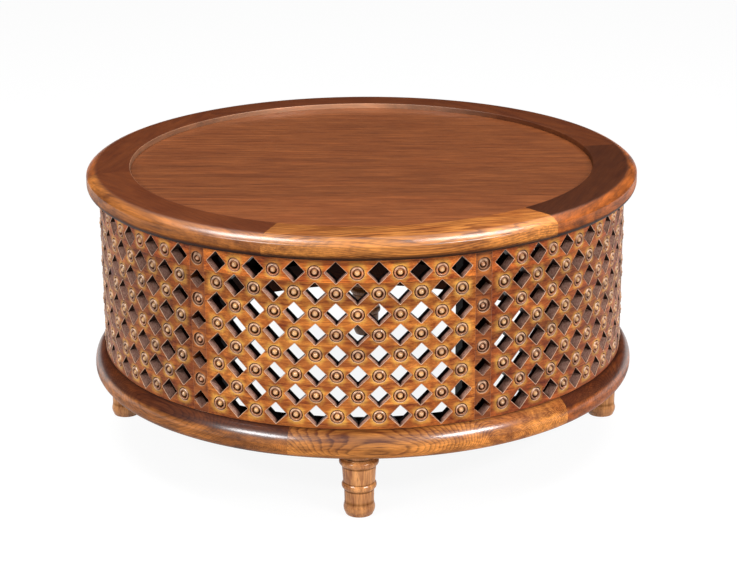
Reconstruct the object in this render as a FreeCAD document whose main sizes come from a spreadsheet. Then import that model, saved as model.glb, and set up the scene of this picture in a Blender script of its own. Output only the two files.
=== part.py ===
import FreeCAD, Part
import math
import os
import Sketcher

# A round drum table of solid wood. Six curved pierced panels, each a glued stack of seven courses, stand
# between six upright posts, on a base ring with four turned feet and under a round rim that frames a
# slightly sunk top of eight planks.
# Lengths are in millimetres, +Z is up, and the origin is on the floor at the middle of the table.

# Driving dimensions: the drum from the floor up, then its joinery
SIZES = {
    "foot_height": 102.5,
    "ring_thickness": 44.7,
    "wall_height": 268.8,
    "rim_thickness": 34.0,
    "wall_outer_radius": 430.4,
    "wall_thickness": 24.0,
    "rim_overhang": 19.6,
    "rim_lip": 2.4,
    "ring_overhang": 18.1,
    "ring_lip": 0.7,
    "recess_depth": 8.5,
    "foot_radius": 30.6,
    "segment_count": 6,
    "foot_count": 4,
    "rim_turn": 10.7,
    "ring_turn": 15.1,
    "wall_turn": -5.2,
    "foot_turn": -1.0,
    "lattice_rows": 8,
    "lattice_columns": 14,
    "lattice_top_margin": 22.45,
    "lattice_bottom_margin": 19.85,
    "lattice_web": 3.8,
    "course_count": 7,
    "seam_allowance": 4.0,
    "boss_radius": 10.8,
    "boss_depth": 2.6,
    "plank_count": 8,
    "plank_thickness": 20.0,
    "tongue_length": 9.0,
    "tongue_thickness": 12.0,
    "tongue_drop": 4.0,
    "groove_clearance": 0.3,
    "batten_offset": 150.0,
    "batten_width": 50.0,
    "batten_thickness": 22.0,
    "batten_end_gap": 6.0,
    "stile_width": 27.0,
    "post_width": 44.0,
    "post_depth": 24.7,
    "post_clearance": 0.05,
    "dowel_radius": 5.0,
    "dowel_length": 40.0,
    "dowel_clearance": 0.1,
    "dowel_end_gap": 0.5,
    "bolt_radius": 4.0,
    "bolt_length": 60.0,
    "screw_radius": 2.2,
    "screw_head_radius": 4.4,
    "screw_head_height": 3.0,
    "screw_bite": 15.0,
    "screw_clearance": 0.1,
    "overrun": 5.0,
}

# Shares of the rim's and the base ring's thickness that their rounded edges take
RIM_ROUND_WIDTH_SHARE = 0.70
RIM_ROUND_DROP_SHARE = 0.50
RIM_UNDERSIDE_SHARE = 0.32
RING_ROUND_DROP_SHARE = 0.58
RING_UNDERSIDE_SHARE = 0.30
# The ring's rounded edge is one arc, whose radius is this share of the height that it takes
RING_ARC_SHARE = 1.25
# The tighter of the rim's two arcs, as a share of the rounded edge's height
NOSE_SHARE = 0.70

# The turned foot's outline, as shares of its radius and height, with the rounding of a bead as a share
# of the height, from the floor to the seat under the base ring
FOOT_OUTLINE_SHARES = [
    (0.490, 0.000, 0.114),
    (0.709, 0.180, None),
    (0.732, 0.400, 0.064),
    (0.804, 0.514, None),
    (0.863, 0.790, 0.062),
    (0.882, 0.904, None),
    (0.850, 0.930, None),
    (0.915, 1.000, None),
]

# The carved roundel's outline from its middle out, as shares of its radius and depth, with the rounding
# of its dome and ring as shares of the radius
BOSS_DOME_SHARE = 0.40
BOSS_DOME_HEIGHT_SHARE = 0.92
BOSS_OUTLINE_SHARES = [
    (0.50, 0.00, None),
    (0.55, 0.45, 0.16),
    (0.85, 0.45, None),
    (0.89, 0.15, None),
    (1.03, 1.25, None),
]

# Where the dowels of a segment's end lie, as shares of the way from the inner to the outer face
DOWEL_SHARES = (0.32, 0.64)
# Where a panel's screws lie in half the post's width, from its middle
SCREW_SHARE = 0.84
# The holes over a post are a little smaller than the panels' own
SEAM_HOLE_SHARE = 0.87

os.makedirs("parts", exist_ok=True)
doc = FreeCAD.newDocument("DrumTable")
sheet = doc.addObject("Spreadsheet::Sheet", "Sizes")
for row, (name, number) in enumerate(SIZES.items(), start=1):
    sheet.set(f"A{row}", name)
    sheet.set(f"B{row}", str(number))
    sheet.setAlias(f"B{row}", name)
doc.recompute()

# Sizes that follow from the driving dimensions, as expressions of the sheet's cells
RING_BOTTOM = "Sizes.foot_height"
WALL_BOTTOM = f"({RING_BOTTOM} + Sizes.ring_thickness)"
WALL_TOP = f"({WALL_BOTTOM} + Sizes.wall_height)"
RIM_TOP = f"({WALL_TOP} + Sizes.rim_thickness)"
PLANK_TOP = f"({RIM_TOP} - Sizes.recess_depth)"
PLANK_BOTTOM = f"({PLANK_TOP} - Sizes.plank_thickness)"
BATTEN_BOTTOM = f"({PLANK_BOTTOM} - Sizes.batten_thickness)"

WALL_OUTER = "Sizes.wall_outer_radius"
WALL_INNER = f"({WALL_OUTER} - Sizes.wall_thickness)"
POST_OUTER = f"(sqrt({WALL_INNER}^2 - (Sizes.post_width / 2)^2) - Sizes.post_clearance)"
POST_INNER = f"({POST_OUTER} - Sizes.post_depth)"
RIM_OUTER = f"({WALL_OUTER} + Sizes.rim_overhang)"
RIM_INNER = f"({POST_INNER} - Sizes.rim_lip)"
RING_OUTER = f"({WALL_OUTER} + Sizes.ring_overhang)"
RING_INNER = f"({POST_INNER} - Sizes.ring_lip)"
PLANK_RADIUS = f"({RIM_INNER} - Sizes.groove_clearance)"
TONGUE_RADIUS = f"({PLANK_RADIUS} + Sizes.tongue_length)"
TONGUE_TOP = f"({PLANK_TOP} - Sizes.tongue_drop)"
TONGUE_BOTTOM = f"({TONGUE_TOP} - Sizes.tongue_thickness)"
GROOVE_RADIUS = f"({TONGUE_RADIUS} + Sizes.groove_clearance)"
POST_DOWEL_CIRCLE = f"(({GROOVE_RADIUS} + {POST_OUTER}) / 2)"
FOOT_CIRCLE = f"(({RING_INNER} + {WALL_OUTER}) / 2)"
PLANK_WIDTH = f"(2 * {TONGUE_RADIUS} / Sizes.plank_count)"

HALF_SEGMENT = "(180 / Sizes.segment_count)"
SEAM_ANGLE = f"(Sizes.seam_allowance / {WALL_OUTER} * 180 / pi)"
STILE_ANGLE = f"(Sizes.stile_width / {WALL_OUTER} * 180 / pi)"
PANEL_ANGLE = f"(2 * {HALF_SEGMENT} - {STILE_ANGLE})"
COURSE_HEIGHT = "(Sizes.wall_height / Sizes.course_count)"
COLUMN_ANGLE = f"((2 * {HALF_SEGMENT} - 2 * {SEAM_ANGLE}) / Sizes.lattice_columns)"
COLUMN_PITCH = f"({COLUMN_ANGLE} * pi / 180 * {WALL_OUTER})"
LATTICE_SPAN = "(Sizes.wall_height - Sizes.lattice_top_margin - Sizes.lattice_bottom_margin)"
ROW_PITCH = f"({LATTICE_SPAN} / (Sizes.lattice_rows - 1))"
HALF_DIAGONAL = f"(min({COLUMN_PITCH}; {ROW_PITCH}) - Sizes.boss_radius - Sizes.lattice_web)"

# The front of the table faces -Y, and the pieces that repeat round it are made facing +X
FRONT = -90


def work_out(expression):
    """The number that an expression of the sheet's cells comes to."""
    return float(sheet.evalExpression(str(expression)))


def length(expression):
    """An expression in millimetres, for a property that holds a length."""
    return f"({expression}) * 1 mm"


def add(kind, label):
    """A new object of the document under its own label."""
    item = doc.addObject(kind, label)
    item.Label = label
    return item


def place(item, x="0", y="0", z="0", turn=None):
    """Puts an object where expressions say, turned about Z by an expression in degrees."""
    for axis, expression in (("x", x), ("y", y), ("z", z)):
        item.setExpression(f".Placement.Base.{axis}", length(expression))
    if turn is not None:
        item.setExpression(".Placement.Rotation.Angle", f"({turn}) * 1 deg")
    return item


def group(label, items):
    """Several objects as one, each still a solid of its own."""
    whole = add("Part::Compound", label)
    whole.Links = items
    return whole


def turned(label, item, angle):
    """A copy of an object, turned about the table's axis by an expression in degrees."""
    return place(group(label, [item]), turn=angle)


def ring_of(label, item, count, turn):
    """Copies of an object spread evenly round the table's axis, as one object."""
    copies = []
    for number in range(int(work_out(count))):
        angle = f"{turn} + {FRONT} + 360 * {number} / {count}"
        copies.append(turned(f"{label}_copy_{number + 1}", item, angle))
    return group(label, copies)


def pair(label, kind, base, tool):
    """A boolean of two objects: Part::Cut, Part::Fuse or Part::Common."""
    item = add(kind, label)
    item.Base = base
    item.Tool = tool
    return item


def cut(label, base, tool):
    """One object with another taken out of it."""
    return pair(label, "Part::Cut", base, tool)


def box(label, sizes, corner):
    """A box of three lengths, from its lowest corner."""
    item = add("Part::Box", label)
    for name, expression in zip(("Length", "Width", "Height"), sizes):
        item.setExpression(name, length(expression))
    return place(item, *corner)


def cylinder(label, radius, height, corner, axis="Z"):
    """A cylinder along Z or Y, from the middle of its first end."""
    item = add("Part::Cylinder", label)
    item.setExpression("Radius", length(radius))
    item.setExpression("Height", length(height))
    if axis == "Y":
        item.Placement.Rotation = FreeCAD.Rotation(FreeCAD.Vector(1, 0, 0), -90)
    return place(item, *corner)


def eased(upright, flat):
    """The first two corners of a rounded outer edge, from an upright face up to a flat one: a tight nose,
    then a wide arc."""
    width = f"({upright[0]} - {flat[0]})"
    height = f"({flat[1]} - {upright[1]})"
    nose = f"({NOSE_SHARE} * {height})"
    wide = f"(({width}^2 + {height}^2 - 2 * {width} * {nose}) / (2 * ({height} - {nose})))"
    joint_x = f"({upright[0]} - {nose} * (1 - ({width} - {nose}) / ({wide} - {nose})))"
    joint_y = f"({upright[1]} + {nose} * ({wide} - {height}) / ({wide} - {nose}))"
    return [(upright[0], upright[1], nose, 1), (joint_x, joint_y, wide, 1)]


def arc_between(start, end, radius, side):
    """The arc from start to end that bulges to one side of the way: 1 is right and -1 is left."""
    chord = end - start
    middle = (start + end) * 0.5
    left = FreeCAD.Vector(-chord.y, chord.x, 0).normalize()
    reach = math.sqrt(max(radius ** 2 - (chord.Length / 2) ** 2, 0))
    centre = middle + left * (reach * side)
    first, last = (start, end) if side > 0 else (end, start)
    angles = [math.atan2(point.y - centre.y, point.x - centre.x) for point in (first, last)]
    circle = Part.Circle(centre, FreeCAD.Vector(0, 0, 1), radius)
    return Part.ArcOfCircle(circle, angles[0], angles[1])


def hold(sketch, kind, geometry, position, expression, name):
    """Holds one point of a sketch at a distance from its origin along X or Y."""
    if expression == "0":
        axis = -2 if kind == "DistanceX" else -1
        sketch.addConstraint(Sketcher.Constraint("PointOnObject", geometry, position, axis))
        return
    number = sketch.addConstraint(
        Sketcher.Constraint(kind, -1, 1, geometry, position, work_out(expression)))
    sketch.renameConstraint(number, name)
    sketch.setExpression(f"Constraints.{name}", expression)


def outline(body, corners):
    """A closed sketch on the body's own XZ plane. A corner is (x, y), or (x, y, radius, side) where the
    stretch to the next corner is an arc."""
    sketch = body.newObject("Sketcher::SketchObject", body.Label + "_outline")
    plane = [item for item in body.Origin.OriginFeatures if item.Role == "XZ_Plane"][0]
    sketch.AttachmentSupport = [(plane, "")]
    sketch.MapMode = "FlatFace"
    spots = [FreeCAD.Vector(work_out(corner[0]), work_out(corner[1]), 0) for corner in corners]
    ends = []
    for number, corner in enumerate(corners):
        start = spots[number]
        end = spots[(number + 1) % len(spots)]
        if len(corner) == 2:
            geometry = sketch.addGeometry(Part.LineSegment(start, end), False)
            ends.append((geometry, 1, 2))
            continue
        radius, side = corner[2], corner[3]
        geometry = sketch.addGeometry(arc_between(start, end, work_out(radius), side), False)
        ends.append((geometry, 1, 2) if side > 0 else (geometry, 2, 1))
        constraint = sketch.addConstraint(Sketcher.Constraint("Radius", geometry, work_out(radius)))
        sketch.renameConstraint(constraint, f"radius_{number}")
        sketch.setExpression(f"Constraints.radius_{number}", radius)
    for number, corner in enumerate(corners):
        geometry, first, _ = ends[number]
        before, _, last = ends[number - 1]
        sketch.addConstraint(Sketcher.Constraint("Coincident", before, last, geometry, first))
        hold(sketch, "DistanceX", geometry, first, corner[0], f"x_{number}")
        hold(sketch, "DistanceY", geometry, first, corner[1], f"y_{number}")
    return sketch


def revolved(label, corners, angle="360", upright="0"):
    """A body turned about the Z axis from an outline, half its angle to each side of +X."""
    body = add("PartDesign::Body", label)
    sketch = outline(body, corners)
    turning = body.newObject("PartDesign::Revolution", label + "_turning")
    turning.Profile = sketch
    turning.ReferenceAxis = (sketch, ["V_Axis"])
    turning.Midplane = True
    turning.setExpression("Angle", f"({angle}) * 1 deg")
    return place(body, z=upright)


# Dowels in the ends of a segment: two, along Y, on the +X axis
def end_dowels(label, inner, outer, height, radius, reach):
    pins = []
    for number, share in enumerate(DOWEL_SHARES, start=1):
        across = f"({inner} + {share} * ({outer} - {inner}))"
        corner = (across, f"-{reach}", height)
        pins.append(cylinder(f"{label}_pin_{number}", radius, f"2 * {reach}", corner, "Y"))
    return group(label, pins)


# Rim: six segments, with a groove for the top's tongue
def rim_outline():
    top, bottom = "Sizes.rim_thickness", "0"
    groove_top = f"({TONGUE_TOP} + Sizes.groove_clearance - {WALL_TOP})"
    groove_bottom = f"({TONGUE_BOTTOM} - Sizes.groove_clearance - {WALL_TOP})"
    round_width = f"{RIM_ROUND_WIDTH_SHARE} * Sizes.rim_thickness"
    round_drop = f"{RIM_ROUND_DROP_SHARE} * Sizes.rim_thickness"
    under = f"({RIM_UNDERSIDE_SHARE} * Sizes.rim_thickness)"
    corners = [(RIM_INNER, bottom), (f"({RIM_OUTER} - {under})", bottom, under, 1), (RIM_OUTER, under)]
    flat = (f"({RIM_OUTER} - {round_width})", top)
    upright = (RIM_OUTER, f"({top} - {round_drop})")
    corners += eased(upright, flat)
    corners.append(flat)
    corners.append((RIM_INNER, top))
    corners.append((RIM_INNER, groove_top))
    corners.append((GROOVE_RADIUS, groove_top))
    corners.append((GROOVE_RADIUS, groove_bottom))
    corners.append((RIM_INNER, groove_bottom))
    return corners


# Base ring: six segments with a rounded outer edge
def ring_outline():
    top = "Sizes.ring_thickness"
    under = f"({RING_UNDERSIDE_SHARE} * {top})"
    drop = f"({RING_ROUND_DROP_SHARE} * {top})"
    return [
        (RING_INNER, "0"),
        (f"({RING_OUTER} - {under})", "0", under, 1),
        (RING_OUTER, under),
        (RING_OUTER, f"({top} - {drop})", f"({RING_ARC_SHARE} * {drop})", 1),
        (WALL_OUTER, top),
        (RING_INNER, top),
    ]


# Top: a disc with a tongue all round it, sawn into planks that run along X
def top_outline():
    return [
        ("0", "0"),
        (PLANK_RADIUS, "0"),
        (PLANK_RADIUS, f"({TONGUE_BOTTOM} - {PLANK_BOTTOM})"),
        (TONGUE_RADIUS, f"({TONGUE_BOTTOM} - {PLANK_BOTTOM})"),
        (TONGUE_RADIUS, f"({TONGUE_TOP} - {PLANK_BOTTOM})"),
        (PLANK_RADIUS, f"({TONGUE_TOP} - {PLANK_BOTTOM})"),
        (PLANK_RADIUS, "Sizes.plank_thickness"),
        ("0", "Sizes.plank_thickness"),
    ]


# Foot: turned beads and tapers, with a blind hole for its bolt
def foot_outline():
    hole = "(Sizes.bolt_radius + Sizes.dowel_clearance)"
    depth = "(Sizes.bolt_length / 2 + Sizes.dowel_end_gap)"
    corners = [("0", "0")]
    for radius_share, height_share, bead_share in FOOT_OUTLINE_SHARES:
        corner = (f"({radius_share} * Sizes.foot_radius)", f"({height_share} * Sizes.foot_height)")
        if height_share == 0:
            corner = (corner[0], "0")
        if bead_share is not None:
            corner = corner + (f"({bead_share} * Sizes.foot_height)", 1)
        corners.append(corner)
    corners.append((hole, "Sizes.foot_height"))
    corners.append((hole, f"(Sizes.foot_height - {depth})"))
    corners.append(("0", f"(Sizes.foot_height - {depth})"))
    return corners


# Roundel: the space carved out round a dome and a raised ring
def boss_outline():
    radius, depth = "Sizes.boss_radius", "Sizes.boss_depth"
    dome_radius = f"({BOSS_DOME_SHARE} * {radius})"
    dome_height = f"({BOSS_DOME_HEIGHT_SHARE} * {depth})"
    rounding = f"(({dome_radius}^2 + {dome_height}^2) / (2 * {dome_height}))"
    corners = [("0", dome_height, rounding, -1), (dome_radius, "0")]
    for radius_share, depth_share, round_share in BOSS_OUTLINE_SHARES:
        height = f"({depth_share} * {depth})" if depth_share else "0"
        corner = (f"({radius_share} * {radius})", height)
        if round_share is not None:
            corner = corner + (f"({round_share} * {radius})", -1)
        corners.append(corner)
    corners.append(("0", corners[-1][1]))
    return corners


# Countersunk screw, its head at the origin and its point up
def screw_outline(reach):
    head, shank = "Sizes.screw_head_radius", "Sizes.screw_radius"
    return [
        ("0", "0"),
        (head, "0"),
        (shank, "Sizes.screw_head_height"),
        (shank, f"({reach} - Sizes.screw_radius)"),
        ("0", reach),
    ]


# The hole that a countersunk screw needs, a little wider than the screw
def screw_hole_outline(reach):
    head = "(Sizes.screw_head_radius + Sizes.screw_clearance)"
    shank = "(Sizes.screw_radius + Sizes.screw_clearance)"
    return [
        ("0", "0"),
        (head, "0"),
        (shank, "(Sizes.screw_head_height + Sizes.screw_clearance)"),
        (shank, f"({reach} + Sizes.dowel_end_gap)"),
        ("0", f"({reach} + Sizes.dowel_end_gap)"),
    ]


# What is carved through or into the wall, column by column, standing on the wall's bottom
def carved(columns, inner, roundel):
    """Square holes on their corners and roundels, by turns down each column. A column is its number, its
    angle and its holes' half diagonal, and an even one starts with a roundel. inner is the radius that
    the holes reach in to."""
    outer = work_out(WALL_OUTER)
    through = outer + work_out("Sizes.overrun") - inner
    boss = roundel.Shape.copy()
    boss.rotate(FreeCAD.Vector(0, 0, 0), FreeCAD.Vector(0, 1, 0), 90)
    boss.translate(FreeCAD.Vector(outer - work_out("Sizes.boss_depth"), 0, 0))
    top_row = work_out("Sizes.wall_height - Sizes.lattice_top_margin")
    row_pitch = work_out(ROW_PITCH)
    spaces = []
    for number, angle, half_diagonal in columns:
        side = half_diagonal * math.sqrt(2)
        hole = Part.makeBox(through, side, side, FreeCAD.Vector(0, -side / 2, -side / 2))
        hole.rotate(FreeCAD.Vector(0, 0, 0), FreeCAD.Vector(1, 0, 0), 45)
        hole.translate(FreeCAD.Vector(inner, 0, 0))
        for row in range(int(work_out("Sizes.lattice_rows"))):
            where = FreeCAD.Placement(FreeCAD.Vector(0, 0, top_row - row * row_pitch),
                                      FreeCAD.Rotation(FreeCAD.Vector(0, 0, 1), angle))
            space = hole.copy() if (number + row) % 2 else boss.copy()
            space.Placement = where.multiply(space.Placement)
            spaces.append(space)
    return Part.makeCompound(spaces)


def carving(label, columns, inner, roundel):
    """A part of the wall's carving as an object of the document."""
    item = add("Part::Feature", label)
    item.Shape = carved(columns, work_out(inner), roundel)
    return place(item, z=WALL_BOTTOM)


# Screws of one post, two columns of them in the rows where the panels beside it have roundels
def post_screws(label, screw):
    fixings = []
    for number in range(1, int(work_out("Sizes.lattice_rows")), 2):
        height = f"({WALL_TOP} - Sizes.lattice_top_margin - {number} * {ROW_PITCH})"
        for side, sign in (("left", "-"), ("right", "")):
            across = f"{sign}{SCREW_SHARE} * Sizes.post_width / 2"
            fixings.append(place(group(f"{label}_{side}_{number}", [screw]), POST_INNER, across, height))
    return group(label, fixings)


pieces = []

# Joint dowels and their holes
reach = "(Sizes.dowel_length / 2)"
hole_radius = "(Sizes.dowel_radius + Sizes.dowel_clearance)"
hole_reach = f"({reach} + Sizes.dowel_end_gap)"
RIM_DOWEL_LEVEL = f"({WALL_TOP} + Sizes.rim_thickness / 2)"
RING_DOWEL_LEVEL = f"({RING_BOTTOM} + Sizes.ring_thickness / 2)"
rim_dowel = end_dowels("rim_dowel", GROOVE_RADIUS, RIM_OUTER, RIM_DOWEL_LEVEL, "Sizes.dowel_radius", reach)
rim_hole = end_dowels("rim_hole", GROOVE_RADIUS, RIM_OUTER, RIM_DOWEL_LEVEL, hole_radius, hole_reach)
ring_dowel = end_dowels("ring_dowel", RING_INNER, RING_OUTER, RING_DOWEL_LEVEL, "Sizes.dowel_radius", reach)
ring_hole = end_dowels("ring_hole", RING_INNER, RING_OUTER, RING_DOWEL_LEVEL, hole_radius, hole_reach)
post_dowel = group("post_dowel", [
    cylinder("post_dowel_top", "Sizes.dowel_radius", "Sizes.dowel_length",
             (POST_DOWEL_CIRCLE, "0", f"({WALL_TOP} - {reach})")),
    cylinder("post_dowel_bottom", "Sizes.dowel_radius", "Sizes.dowel_length",
             (POST_DOWEL_CIRCLE, "0", f"({WALL_BOTTOM} - {reach})"))])
post_hole = group("post_hole", [
    cylinder("post_hole_top", hole_radius, f"2 * {hole_reach}",
             (POST_DOWEL_CIRCLE, "0", f"({WALL_TOP} - {hole_reach})")),
    cylinder("post_hole_bottom", hole_radius, f"2 * {hole_reach}",
             (POST_DOWEL_CIRCLE, "0", f"({WALL_BOTTOM} - {hole_reach})"))])

SEAM_TURN = f"(Sizes.wall_turn + {HALF_SEGMENT})"
rim_joint_turn = f"(Sizes.rim_turn + {HALF_SEGMENT})"
ring_joint_turn = f"(Sizes.ring_turn + {HALF_SEGMENT})"
pieces.append(ring_of("rim_joint_dowels", rim_dowel, "Sizes.segment_count", rim_joint_turn))
pieces.append(ring_of("ring_joint_dowels", ring_dowel, "Sizes.segment_count", ring_joint_turn))
pieces.append(ring_of("post_dowels", post_dowel, "Sizes.segment_count", SEAM_TURN))
post_holes = ring_of("post_holes", post_hole, "Sizes.segment_count", SEAM_TURN)

# Rim segments
rim_spaces = group("rim_spaces", [
    ring_of("rim_joint_holes", rim_hole, "Sizes.segment_count", rim_joint_turn), post_holes])
rim_blank = revolved("rim_blank", rim_outline(), f"2 * {HALF_SEGMENT}", WALL_TOP)
for number in range(int(work_out("Sizes.segment_count"))):
    blank = turned(f"rim_blank_{number + 1}", rim_blank,
                   f"Sizes.rim_turn + {FRONT} + {number} * 2 * {HALF_SEGMENT}")
    pieces.append(cut(f"top_rim_segment_{number + 1}", blank, rim_spaces))

# Top planks, and two battens under them
top_disc = revolved("top_disc", top_outline(), "360", PLANK_BOTTOM)
SCREW_REACH = "(Sizes.batten_thickness + Sizes.plank_thickness / 2)"
batten_screw = revolved("batten_screw", screw_outline(SCREW_REACH))
batten_screw_hole = revolved("batten_screw_hole", screw_hole_outline(SCREW_REACH))
batten_half_length = (f"(sqrt(({RIM_INNER} - Sizes.batten_end_gap)^2"
                      " - (Sizes.batten_offset + Sizes.batten_width / 2)^2))")
SCREW_PITCH = f"({PLANK_WIDTH} * {batten_half_length} / {TONGUE_RADIUS})"
screws = []
screw_holes = []
for number in range(int(work_out("Sizes.plank_count"))):
    middle = f"(({number} + 0.5 - Sizes.plank_count / 2) * {SCREW_PITCH})"
    for side, sign in (("left", "-"), ("right", "")):
        spot = (f"{sign}Sizes.batten_offset", middle, BATTEN_BOTTOM)
        screws.append(place(group(f"batten_screw_{side}_{number}", [batten_screw]), *spot))
        screw_holes.append(place(group(f"batten_hole_{side}_{number}", [batten_screw_hole]), *spot))
batten_holes = group("batten_holes", screw_holes)
for number in range(int(work_out("Sizes.plank_count"))):
    low = f"(({number} - Sizes.plank_count / 2) * {PLANK_WIDTH})"
    slab = box(f"plank_slab_{number + 1}", (f"2 * {TONGUE_RADIUS}", PLANK_WIDTH, "Sizes.plank_thickness"),
               (f"-{TONGUE_RADIUS}", low, PLANK_BOTTOM))
    plank = pair(f"plank_blank_{number + 1}", "Part::Common", top_disc, slab)
    pieces.append(cut(f"top_plank_{number + 1}", plank, batten_holes))
for side, sign in (("left", "-"), ("right", "")):
    low_x = f"({sign}Sizes.batten_offset - Sizes.batten_width / 2)"
    blank = box(f"batten_blank_{side}", ("Sizes.batten_width", f"2 * {batten_half_length}",
                                         "Sizes.batten_thickness"),
                (low_x, f"-{batten_half_length}", BATTEN_BOTTOM))
    pieces.append(cut(f"top_batten_{side}", blank, batten_holes))
pieces.append(group("batten_screws", screws))

# Posts: a carved stile between two panels and a wider back behind them, with the screws that hold both
roundel = revolved("roundel", boss_outline())
doc.recompute()
half_segment = work_out(HALF_SEGMENT)
half_diagonal = work_out(HALF_DIAGONAL)
seam_diagonal = SEAM_HOLE_SHARE * half_diagonal
seam_carving = carving("seam_carving", [(0, 0, seam_diagonal)], WALL_INNER, roundel)
PANEL_SCREW_REACH = "(Sizes.post_depth + Sizes.screw_bite)"
panel_screw = revolved("panel_screw", screw_outline(PANEL_SCREW_REACH))
panel_screw.Placement.Rotation = FreeCAD.Rotation(FreeCAD.Vector(0, 1, 0), 90)
panel_screw_hole = revolved("panel_screw_hole", screw_hole_outline(PANEL_SCREW_REACH))
panel_screw_hole.Placement.Rotation = FreeCAD.Rotation(FreeCAD.Vector(0, 1, 0), 90)
one_post_screws = post_screws("one_post_screws", panel_screw)
one_post_holes = post_screws("one_post_holes", panel_screw_hole)
post_back = box("post_back", ("Sizes.post_depth", "Sizes.post_width", "Sizes.wall_height"),
                (POST_INNER, "-Sizes.post_width / 2", WALL_BOTTOM))
STILE_ROOT = f"({POST_OUTER} - Sizes.post_depth / 2)"
stile = revolved("stile", [
    (STILE_ROOT, "0"), (WALL_OUTER, "0"), (WALL_OUTER, "Sizes.wall_height"), (STILE_ROOT, "Sizes.wall_height"),
], STILE_ANGLE, WALL_BOTTOM)
post = cut("post", pair("post_blank", "Part::Fuse", post_back, stile),
           group("post_spaces", [post_hole, one_post_holes, seam_carving]))
for number in range(int(work_out("Sizes.segment_count"))):
    pieces.append(turned(f"seam_post_{number + 1}", post,
                         f"{SEAM_TURN} + {FRONT} + {number} * 2 * {HALF_SEGMENT}"))
pieces.append(ring_of("panel_screws", one_post_screws, "Sizes.segment_count", SEAM_TURN))

# Lattice panels: each is carved as one, from a glued stack of level courses
panel_blank = revolved("panel_blank", [
    (WALL_INNER, "0"), (WALL_OUTER, "0"), (WALL_OUTER, "Sizes.wall_height"), (WALL_INNER, "Sizes.wall_height"),
], PANEL_ANGLE, WALL_BOTTOM)
last = int(work_out("Sizes.lattice_columns"))
panel_columns = [(0, -half_segment, seam_diagonal), (last, half_segment, seam_diagonal)]
for number in range(1, last):
    panel_columns.append((number, (number - last / 2) * work_out(COLUMN_ANGLE), half_diagonal))
panel_spaces = group("panel_spaces", [
    carving("panel_carving", panel_columns, f"{WALL_INNER} - Sizes.overrun", roundel),
    turned("first_edge_screws", one_post_holes, f"-{HALF_SEGMENT}"),
    turned("last_edge_screws", one_post_holes, HALF_SEGMENT)])
panel = cut("panel", panel_blank, panel_spaces)
courses = []
for number in range(int(work_out("Sizes.course_count"))):
    layer = box(f"course_layer_{number + 1}", (WALL_OUTER, f"2 * {WALL_OUTER}", COURSE_HEIGHT),
                ("0", f"-{WALL_OUTER}", f"({WALL_BOTTOM} + {number} * {COURSE_HEIGHT})"))
    courses.append(pair(f"course_{number + 1}", "Part::Common", panel, layer))
stack = group("course_stack", courses)
for number in range(int(work_out("Sizes.segment_count"))):
    pieces.append(turned(f"lattice_panel_{number + 1}", stack,
                         f"Sizes.wall_turn + {FRONT} + {number} * 2 * {HALF_SEGMENT}"))

# Base ring segments, feet and the bolts between them
half_bolt = "(Sizes.bolt_length / 2)"
foot_bolt = cylinder("foot_bolt", "Sizes.bolt_radius", "Sizes.bolt_length",
                     (FOOT_CIRCLE, "0", f"({RING_BOTTOM} - {half_bolt})"))
bolt_hole = cylinder("bolt_hole", "(Sizes.bolt_radius + Sizes.dowel_clearance)",
                     f"({half_bolt} + Sizes.dowel_end_gap)", (FOOT_CIRCLE, "0", RING_BOTTOM))
ring_spaces = group("ring_spaces", [
    ring_of("ring_joint_holes", ring_hole, "Sizes.segment_count", ring_joint_turn),
    post_holes,
    ring_of("bolt_holes", bolt_hole, "Sizes.foot_count", "Sizes.foot_turn")])
ring_blank = revolved("ring_blank", ring_outline(), f"2 * {HALF_SEGMENT}", RING_BOTTOM)
for number in range(int(work_out("Sizes.segment_count"))):
    blank = turned(f"ring_blank_{number + 1}", ring_blank,
                   f"Sizes.ring_turn + {FRONT} + {number} * 2 * {HALF_SEGMENT}")
    pieces.append(cut(f"base_ring_segment_{number + 1}", blank, ring_spaces))
foot = revolved("foot", foot_outline())
foot_out = place(group("foot_out", [foot]), x=FOOT_CIRCLE)
for number in range(int(work_out("Sizes.foot_count"))):
    pieces.append(turned(f"foot_{number + 1}", foot_out,
                         f"Sizes.foot_turn + {FRONT} + 360 * {number} / Sizes.foot_count"))
pieces.append(ring_of("foot_bolts", foot_bolt, "Sizes.foot_count", "Sizes.foot_turn"))

# Check every object, then write each piece
doc.recompute()
for item in doc.Objects:
    if "Invalid" in item.State or "Error" in item.State:
        raise RuntimeError(f"{item.Label} failed: {item.State}")
for piece in pieces:
    if piece.Shape.isNull() or not piece.Shape.isValid() or not piece.Shape.Solids:
        raise RuntimeError(f"{piece.Label} has no valid solid")
    piece.Shape.exportStep(f"parts/{piece.Label}.step")
    print(f"{piece.Label}: {len(piece.Shape.Solids)} solids, {piece.Shape.Volume / 1000:.1f} cm3")
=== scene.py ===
# Round drum table of lacquered hardwood: pierced, carved wall, framed plank top, base ring and turned feet.
# All lengths are in metres and all angles in degrees, with 0 at the front and growing to the right.
import math
import random

import bpy
import numpy as np
from mathutils import Matrix, Vector, geometry


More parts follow.
